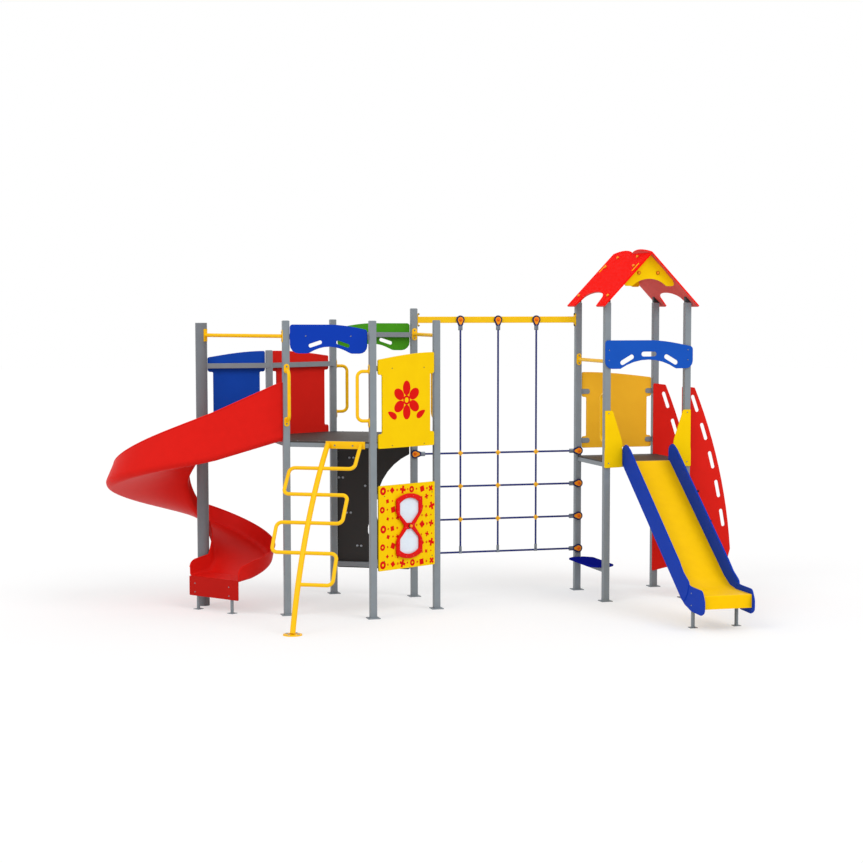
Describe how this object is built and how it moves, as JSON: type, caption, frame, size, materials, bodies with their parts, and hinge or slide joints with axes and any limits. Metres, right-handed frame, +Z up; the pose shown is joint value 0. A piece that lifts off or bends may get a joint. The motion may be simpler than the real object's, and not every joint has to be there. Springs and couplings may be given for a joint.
{
  "type": "multi-play structure",
  "caption": "Playground structure: hexagonal tower with spiral slide, ladder, climbing wall and play panel, rope net, and a roofed tower with straight slide, step climber and bench.",
  "frame": {"origin": "middle of the bounding box, on the ground", "axes": "+X from the hexagonal tower to the square tower, +Y to the back, away from the straight slide, +Z up"},
  "size_m": [5.8136, 3.473, 3.2911],
  "materials": {
    "grey_steel": "grey powder coat on steel tube",
    "yellow_steel": "yellow powder coat on steel tube",
    "yellow_board": "yellow polyethylene board, fine matt",
    "amber_board": "amber polyethylene board, fine matt",
    "blue_board": "blue polyethylene board, fine matt",
    "navy_board": "navy polyethylene board, fine matt",
    "green_board": "green polyethylene board, fine matt",
    "red_board": "red polyethylene board, fine matt",
    "charcoal_board": "charcoal laminate with fine grooves",
    "red_plastic": "moulded red plastic, satin",
    "yellow_bed": "smooth yellow sheet",
    "clear_window": "pale translucent sheet",
    "orange_knob": "moulded orange plastic",
    "blue_rope": "braided blue rope"
  },
  "bodies": {
    "structure": {"post_front_left": "grey_steel", "post_front": "grey_steel", "post_front_right": "grey_steel", "post_right_tall": "grey_steel", "post_back": "grey_steel", "slide_column": "grey_steel", "barrier_frame": "grey_steel", "hexagon_deck_frame": "grey_steel", "square_deck_frame": "grey_steel", "upper_panel_rail": "grey_steel", "header_rail_front": "grey_steel", "header_rail_back": "grey_steel", "climbing_wall_rail": "grey_steel", "tower_post_front_left": "grey_steel", "tower_post_front_right": "grey_steel", "tower_post_back_left": "grey_steel", "tower_post_back_right": "grey_steel", "straight_slide_leg_frame": "grey_steel", "spiral_leg_frame": "grey_steel", "bench_beam": "grey_steel", "guard_bar_left": "yellow_steel", "guard_bar_right": "yellow_steel", "guard_bar_tower": "yellow_steel", "handle_front_left": "yellow_steel", "handle_front": "yellow_steel", "handle_front_right": "yellow_steel", "handle_back": "yellow_steel", "handle_tower": "yellow_steel", "climbing_ladder": "yellow_steel", "net_beam": "yellow_steel", "upper_panel_yellow": "yellow_board", "play_panel": "yellow_board", "slide_guard_left": "yellow_board", "slide_guard_right": "yellow_board", "roof_gable_front": "yellow_board", "roof_gable_back": "yellow_board", "tower_back_panel": "amber_board", "side_panel_blue": "blue_board", "header_panel_blue": "blue_board", "tower_header_panel": "blue_board", "straight_slide_side_left": "blue_board", "straight_slide_side_right": "blue_board", "bench_seat": "navy_board", "header_panel_green": "green_board", "side_panel_red": "red_board", "climber_board_front": "red_board", "climber_board_back": "red_board", "roof_slope_left": "red_board", "roof_slope_right": "red_board", "spiral_exit_panel": "red_board", "hexagon_deck_plate": "charcoal_board", "square_deck_plate": "charcoal_board", "climbing_wall": "charcoal_board", "climber_step_frame": "charcoal_board", "spiral_chute": "red_plastic", "straight_slide_bed": "yellow_bed", "spinner_axle": "orange_knob", "rope_net": "blue_rope"},
    "spinner": {"spinner_frame": "red_plastic", "spinner_window": "clear_window"}
  },
  "joints": [
    {"name": "spinner_turn", "type": "hinge", "parent": "structure", "child": "spinner", "pos_m": [-0.32333, -0.00148, 0.797], "axis": [0.5, -0.866, 0], "continuous": true}
  ]
}
